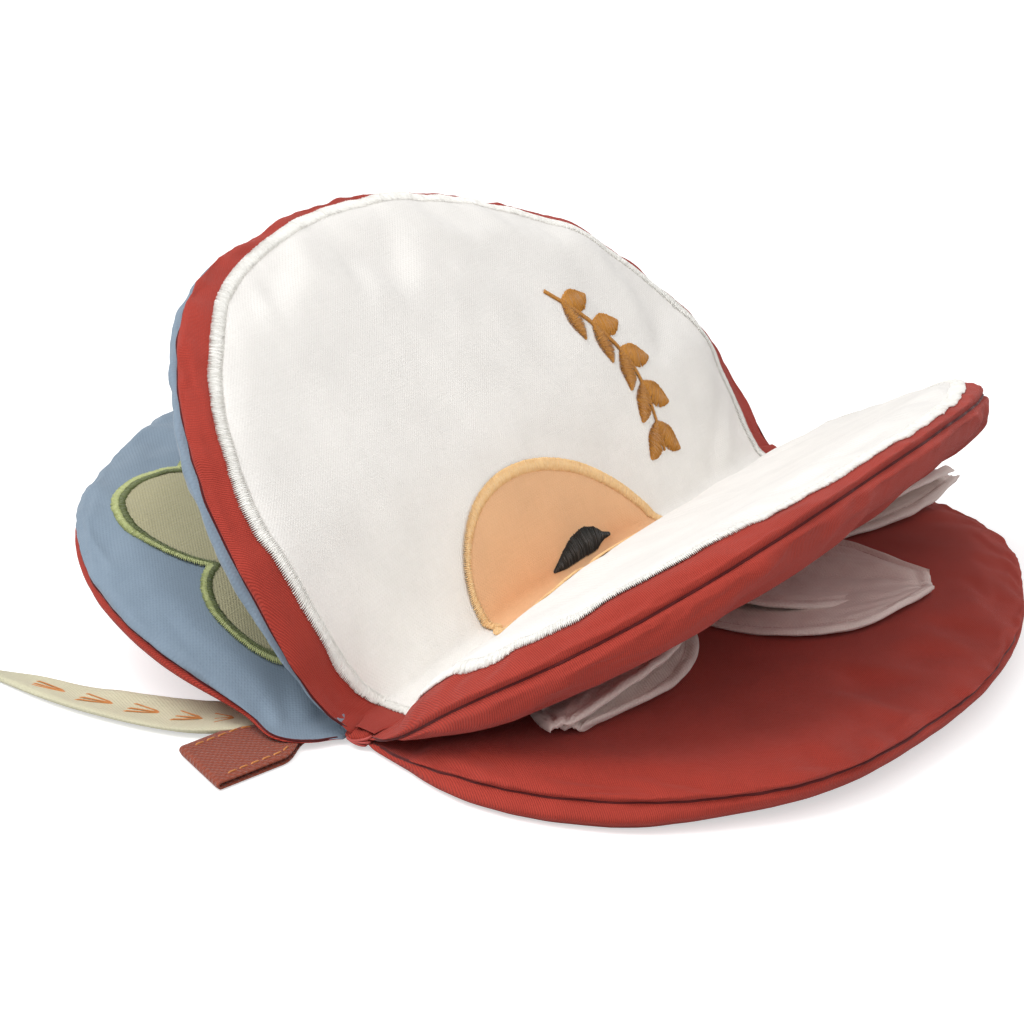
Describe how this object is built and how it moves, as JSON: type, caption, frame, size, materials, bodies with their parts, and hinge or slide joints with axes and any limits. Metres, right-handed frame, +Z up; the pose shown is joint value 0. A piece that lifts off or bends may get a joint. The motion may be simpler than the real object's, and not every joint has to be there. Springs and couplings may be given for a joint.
{
  "type": "cloth baby book",
  "caption": "Padded cloth baby book shaped like a halved apple, standing open on its right cover, with soft pages, loose petals, a tape loop and a cloth leaf.",
  "frame": {"origin": "on the table, on the flat underside of the right cover, halfway along the spine and 25 mm to the right of the spine's axis", "axes": "+Z up from the table; +Y along the spine from the stem end to the blossom end; +X out from the spine over the right cover"},
  "size_m": [0.207, 0.2282, 0.091],
  "materials": {
    "red_twill": "matte",
    "blue_cotton": "matte",
    "white_cotton": "matte",
    "white_satin": "matte",
    "peach_cotton": "matte",
    "peach_satin": "matte",
    "pip_satin": "matte",
    "ochre_satin": "matte",
    "green_cotton": "matte",
    "green_satin": "matte",
    "petal_cotton": "matte",
    "tape_canvas": "matte",
    "orange_thread": "matte",
    "leaf_cotton": "matte",
    "wadding": "matte",
    "red_thread": "matte"
  },
  "bodies": {
    "cover_right": {"cover_right_inside": "red_twill", "cover_right_outside": "red_twill", "cover_right_wadding": "wadding", "spine_roll": "red_twill", "stem_stitches": "red_thread", "blossom_stitches": "red_thread"},
    "leaf_right": {"leaf_right_front": "red_twill", "leaf_right_back": "red_twill", "leaf_right_wadding": "wadding", "flesh_right": "white_cotton", "flesh_edge_right": "white_satin", "core_right": "peach_cotton", "core_edge_right": "peach_satin", "pip_right": "pip_satin"},
    "leaf_left": {"leaf_left_back": "blue_cotton", "leaf_left_front": "red_twill", "leaf_left_wadding": "wadding", "flesh_left": "white_cotton", "flesh_edge_left": "white_satin", "core_left": "peach_cotton", "core_edge_left": "peach_satin", "pip_left": "pip_satin", "sprig": "ochre_satin"},
    "cover_left": {"cover_left_outside": "red_twill", "cover_left_inside": "blue_cotton", "cover_left_wadding": "wadding", "bush": "green_cotton", "bush_edge": "green_satin"},
    "tape": {"tape_loop": "tape_canvas", "tape_topstitch": "orange_thread"},
    "stem_leaf": {"stem_leaf_under": "leaf_cotton", "stem_leaf_upper": "leaf_cotton", "stem_leaf_veins": "orange_thread"},
    "petal_low_stem": {"petal_low_stem": "petal_cotton"},
    "petal_low_middle": {"petal_low_middle": "petal_cotton"},
    "petal_low_blossom": {"petal_low_blossom": "petal_cotton"},
    "petal_high_stem": {"petal_high_stem": "petal_cotton"},
    "petal_high_middle": {"petal_high_middle": "petal_cotton"},
    "petal_high_blossom": {"petal_high_blossom": "petal_cotton"}
  },
  "joints": [
    {"name": "red_spread", "type": "hinge", "parent": "cover_right", "child": "leaf_right", "pos_m": [-0.025, 0, 0.0055], "axis": [0, -1, 0], "range_deg": [0, 50]},
    {"name": "apple_spread", "type": "hinge", "parent": "leaf_right", "child": "leaf_left", "pos_m": [-0.025, 0, 0.0055], "axis": [0, 1, 0], "range_deg": [-60, 38]},
    {"name": "blue_spread", "type": "hinge", "parent": "leaf_left", "child": "cover_left", "pos_m": [-0.025, 0, 0.0055], "axis": [0, -1, 0], "range_deg": [-18, 50]},
    {"name": "petal_low_stem_hinge", "type": "hinge", "parent": "cover_right", "child": "petal_low_stem", "pos_m": [0.00033, -0.018, 0.01061], "axis": [-0.9651, -0.2602, -0.0299], "range_deg": [0, 12.5]},
    {"name": "petal_high_stem_hinge", "type": "hinge", "parent": "leaf_right", "child": "petal_high_stem", "pos_m": [0.0004, -0.018, 0.0124], "axis": [0.8593, 0.2633, 0.4385], "range_deg": [0, 12.5]},
    {"name": "petal_low_middle_hinge", "type": "hinge", "parent": "cover_right", "child": "petal_low_middle", "pos_m": [0.00033, -0.0015, 0.01061], "axis": [0.0459, -0.9989, 0.0014], "range_deg": [0, 25]},
    {"name": "petal_high_middle_hinge", "type": "hinge", "parent": "leaf_right", "child": "petal_high_middle", "pos_m": [0.0004, -0.0015, 0.0124], "axis": [-0.0402, 0.999, -0.0205], "range_deg": [0, 25]},
    {"name": "petal_low_blossom_hinge", "type": "hinge", "parent": "cover_right", "child": "petal_low_blossom", "pos_m": [0.00033, 0.015, 0.01061], "axis": [0.9322, -0.3609, 0.0289], "range_deg": [0, 12.5]},
    {"name": "petal_high_blossom_hinge", "type": "hinge", "parent": "leaf_right", "child": "petal_high_blossom", "pos_m": [0.0004, 0.015, 0.0124], "axis": [-0.8292, 0.3651, -0.4232], "range_deg": [0, 12.5]},
    {"name": "tape_hinge", "type": "hinge", "parent": "cover_left", "child": "tape", "pos_m": [-0.0365, -0.0995, 0.002], "axis": [-0.8829, 0.4695, 0], "range_deg": [-8, 10]},
    {"name": "stem_leaf_hinge", "type": "hinge", "parent": "cover_left", "child": "stem_leaf", "pos_m": [-0.039, -0.092, 0.00185], "axis": [-0.206, 0.9785, 0], "range_deg": [-20, 10]}
  ],
  "couplings": [
    {"joint": "petal_low_stem_hinge", "follows": "red_spread", "ratio": 0.25},
    {"joint": "petal_high_stem_hinge", "follows": "red_spread", "ratio": 0.25},
    {"joint": "petal_low_middle_hinge", "follows": "red_spread", "ratio": 0.5},
    {"joint": "petal_high_middle_hinge", "follows": "red_spread", "ratio": 0.5},
    {"joint": "petal_low_blossom_hinge", "follows": "red_spread", "ratio": 0.25},
    {"joint": "petal_high_blossom_hinge", "follows": "red_spread", "ratio": 0.25}
  ]
}
